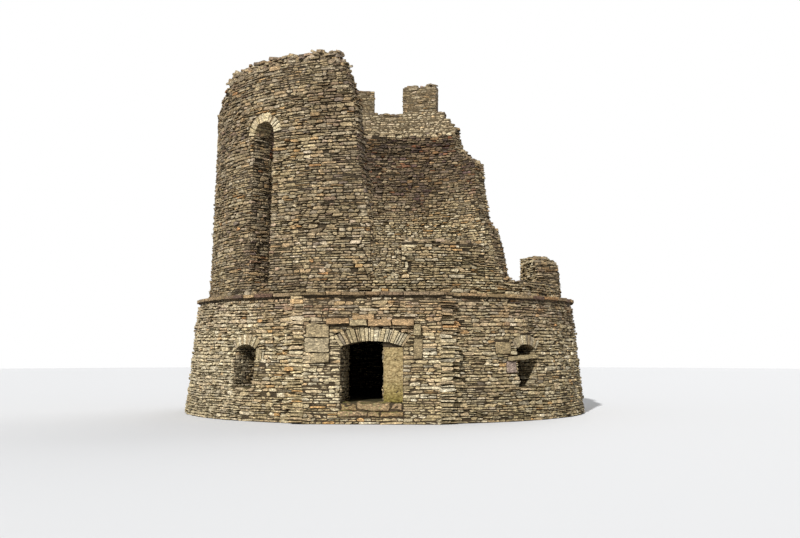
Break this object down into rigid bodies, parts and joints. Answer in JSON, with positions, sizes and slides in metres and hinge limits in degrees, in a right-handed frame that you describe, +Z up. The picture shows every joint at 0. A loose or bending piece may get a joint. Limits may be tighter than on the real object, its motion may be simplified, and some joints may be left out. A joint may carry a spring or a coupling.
{
  "type": "ruined round castle tower",
  "caption": "Roofless round rubble tower: battered vaulted base with a flat door panel and string course, broken drum with tall arched windows and merlons.",
  "frame": {"origin": "on the ground, on the axis of the round walls", "axes": "+Z up, the door faces -Y, +X to the right of someone who faces the door"},
  "size_m": [13.5998, 13.6, 12.9],
  "materials": {
    "lower_rubble": "thin-bedded rubble, buff and grey with lichen",
    "drum_rubble": "thin-bedded rubble, grey-brown with open joints",
    "parapet_rubble": "fine rubble, paler",
    "arch_stone": "thin stones on edge",
    "dressed": "dressed orange-buff sandstone",
    "string_stone": "rough sandstone slabs",
    "vault_stone": "rubble vault, rough",
    "flags": "worn rubble and flags with earth"
  },
  "bodies": {
    "root": {"ground_floor": "flags", "threshold": "flags", "door_panel_left": "lower_rubble", "door_panel_right": "lower_rubble", "door_head": "lower_rubble", "door_arch": "arch_stone", "hood_stones": "dressed", "impost_blocks": "dressed", "lower_wall_front_left": "lower_rubble", "lower_wall_front_right": "lower_rubble", "lower_wall_left": "lower_rubble", "lower_wall_right": "lower_rubble", "lower_wall_rear_left": "lower_rubble", "lower_wall_rear_right": "lower_rubble", "lower_window_aprons": "lower_rubble", "lower_window_heads": "lower_rubble", "lower_window_arches": "arch_stone", "fallen_slab": "dressed", "string_front": "string_stone", "string_right": "string_stone", "string_left": "string_stone", "string_rear": "string_stone", "vault": "vault_stone", "upper_floor": "flags", "drum_base_front": "drum_rubble", "drum_base_right": "drum_rubble", "drum_base_left": "drum_rubble", "drum_base_rear": "drum_rubble", "pier_front_left": "drum_rubble", "pier_left": "drum_rubble", "pier_rear_left": "drum_rubble", "rear_wall_left": "drum_rubble", "rear_wall_middle": "drum_rubble", "rear_wall_right": "drum_rubble", "stump_front_right": "drum_rubble", "stump_right": "drum_rubble", "stump_rear_right": "drum_rubble", "tall_window_heads": "drum_rubble", "tall_window_arches": "arch_stone", "parapet_left": "parapet_rubble", "parapet_right": "parapet_rubble", "merlons": "parapet_rubble"}
  },
  "joints": []
}
